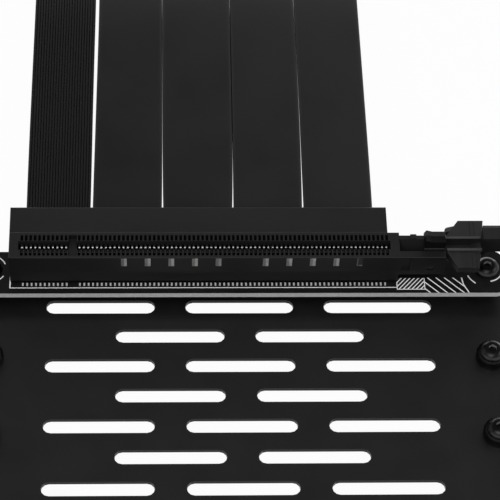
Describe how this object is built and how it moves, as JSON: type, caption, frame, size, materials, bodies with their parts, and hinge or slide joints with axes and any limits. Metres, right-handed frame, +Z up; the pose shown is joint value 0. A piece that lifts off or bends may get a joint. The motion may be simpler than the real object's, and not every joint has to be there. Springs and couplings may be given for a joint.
{
  "type": "vertical gpu mount",
  "caption": "Vertical graphics card mount: vented black base plate, upright bracket panel and a riser slot with a retention latch, fed by flat ribbons that fold behind it.",
  "frame": {"origin": "middle of the mount's footprint without its ribbons, on the surface it stands on", "axes": "+X along the slot from the bracket panel to the latch, +Y back towards the ribbons, +Z up"},
  "size_m": [0.1756, 0.2536, 0.125],
  "materials": {
    "powder_coat": "fine satin black powder coat on folded steel sheet",
    "black_screw": "black oxide steel",
    "spacer": "black nylon",
    "circuit_board": "black solder mask over glass-fibre laminate",
    "slot_plastic": "black moulded connector plastic",
    "contact_plating": "pale gold flash over nickel",
    "ground_nickel": "bright nickel plating",
    "latch_plastic": "dark grey moulded plastic",
    "cover_plastic": "black moulded plastic",
    "ribbon_ridged": "ridged black insulation over parallel wires",
    "ribbon_film": "satin black shielding film"
  },
  "bodies": {
    "mount": {"base_plate": "powder_coat", "io_panel": "powder_coat", "panel_screws": "black_screw", "spare_screws": "black_screw", "board_screws": "black_screw", "board_spacers": "spacer", "riser_board": "circuit_board", "plug_board": "circuit_board", "slot_housing": "slot_plastic", "slot_contacts_front": "contact_plating", "slot_contacts_rear": "contact_plating", "slot_ground_tabs": "ground_nickel", "ribbon_cover": "cover_plastic", "plug_cover_upper": "cover_plastic", "plug_cover_lower": "cover_plastic", "ribbon_1": "ribbon_ridged", "ribbon_2": "ribbon_film", "ribbon_3": "ribbon_film", "ribbon_4": "ribbon_film", "ribbon_5": "ribbon_film"},
    "latch": {"latch_lever": "latch_plastic"}
  },
  "joints": [
    {"name": "latch_hinge", "type": "hinge", "parent": "mount", "child": "latch", "pos_m": [0.06522, 0.0277, 0.0256], "axis": [0, 1, 0], "range_deg": [0, 20]}
  ]
}
